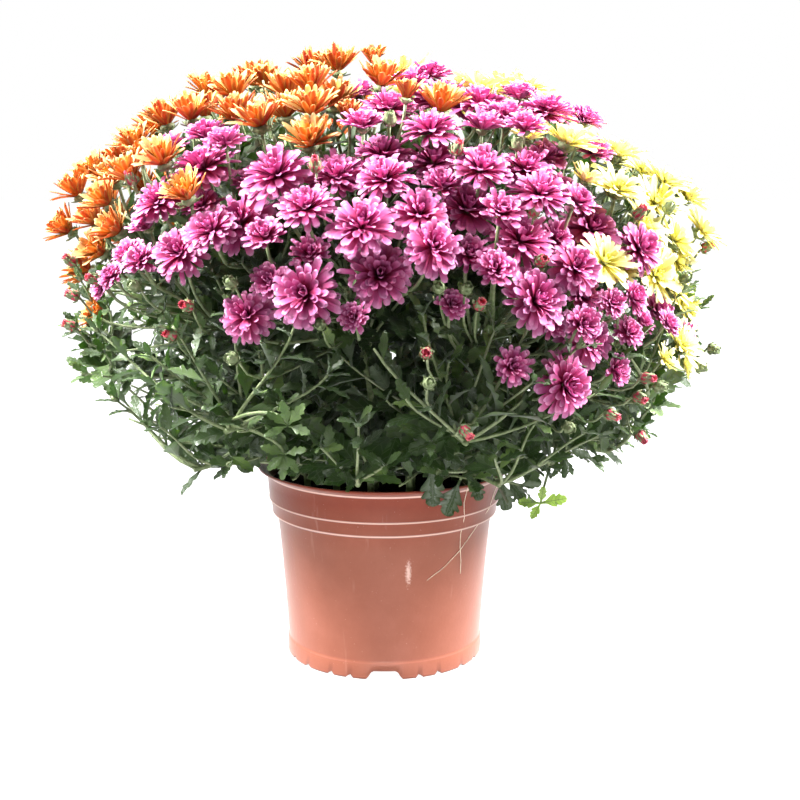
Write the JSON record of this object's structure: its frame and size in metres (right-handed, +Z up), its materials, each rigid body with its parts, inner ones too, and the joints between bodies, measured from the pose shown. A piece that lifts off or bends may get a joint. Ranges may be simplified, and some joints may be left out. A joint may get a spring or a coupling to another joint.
{
  "type": "pot chrysanthemum",
  "caption": "Flowering pot chrysanthemum: a dome of magenta, orange and yellow double flowers over dark lobed leaves, in a round tapered plastic pot.",
  "frame": {"origin": "on the ground under the middle of the pot; the middle of the bounding box lies over the same point to within about 3 mm", "axes": "+Z up; the front, where most of the magenta flowers and the low buds are, faces -Y; the yellow flowers are towards +X and the orange ones towards -X"},
  "size_m": [0.4767, 0.4693, 0.4477],
  "materials": {
    "pot": "satin",
    "soil": "matte",
    "pink_petals": "matte",
    "orange_petals": "matte",
    "yellow_petals": "matte",
    "foliage": "matte"
  },
  "bodies": {
    "root": {"pot": "pot", "soil": "soil", "leafy_shoot_01": "foliage", "leafy_shoot_02": "foliage", "leafy_shoot_03": "foliage", "leafy_shoot_04": "foliage", "leafy_shoot_05": "foliage", "leafy_shoot_06": "foliage", "leafy_shoot_07": "foliage", "leafy_shoot_08": "foliage", "leafy_shoot_09": "foliage", "leafy_shoot_10": "foliage", "leafy_shoot_11": "foliage", "leafy_shoot_12": "foliage", "leafy_shoot_13": "foliage", "leafy_shoot_14": "foliage", "leafy_shoot_15": "foliage", "leafy_shoot_16": "foliage", "leafy_stem_01": "foliage", "leafy_stem_02": "foliage", "leafy_stem_03": "foliage", "leafy_stem_04": "foliage", "leafy_stem_05": "foliage", "leafy_stem_06": "foliage", "leafy_stem_07": "foliage", "leafy_stem_08": "foliage", "leafy_stem_09": "foliage", "leafy_stem_10": "foliage", "leafy_stem_11": "foliage", "leafy_stem_12": "foliage", "leafy_stem_13": "foliage", "leafy_stem_14": "foliage", "leafy_stem_15": "foliage", "leafy_stem_16": "foliage", "leafy_stem_17": "foliage", "leafy_stem_18": "foliage", "leafy_stem_19": "foliage", "leafy_stem_20": "foliage", "leafy_stem_21": "foliage", "orange_spray_01": "orange_petals", "orange_spray_02": "orange_petals", "orange_spray_03": "orange_petals", "orange_spray_04": "orange_petals", "orange_spray_05": "orange_petals", "orange_spray_06": "orange_petals", "orange_spray_07": "orange_petals", "pink_spray_01": "pink_petals", "pink_spray_02": "pink_petals", "pink_spray_03": "pink_petals", "pink_spray_04": "pink_petals", "pink_spray_05": "pink_petals", "pink_spray_06": "pink_petals", "pink_spray_07": "pink_petals", "pink_spray_08": "pink_petals", "yellow_spray_01": "yellow_petals", "yellow_spray_02": "yellow_petals", "yellow_spray_03": "yellow_petals", "yellow_spray_04": "yellow_petals", "yellow_spray_05": "yellow_petals", "yellow_spray_06": "yellow_petals"}
  },
  "joints": []
}
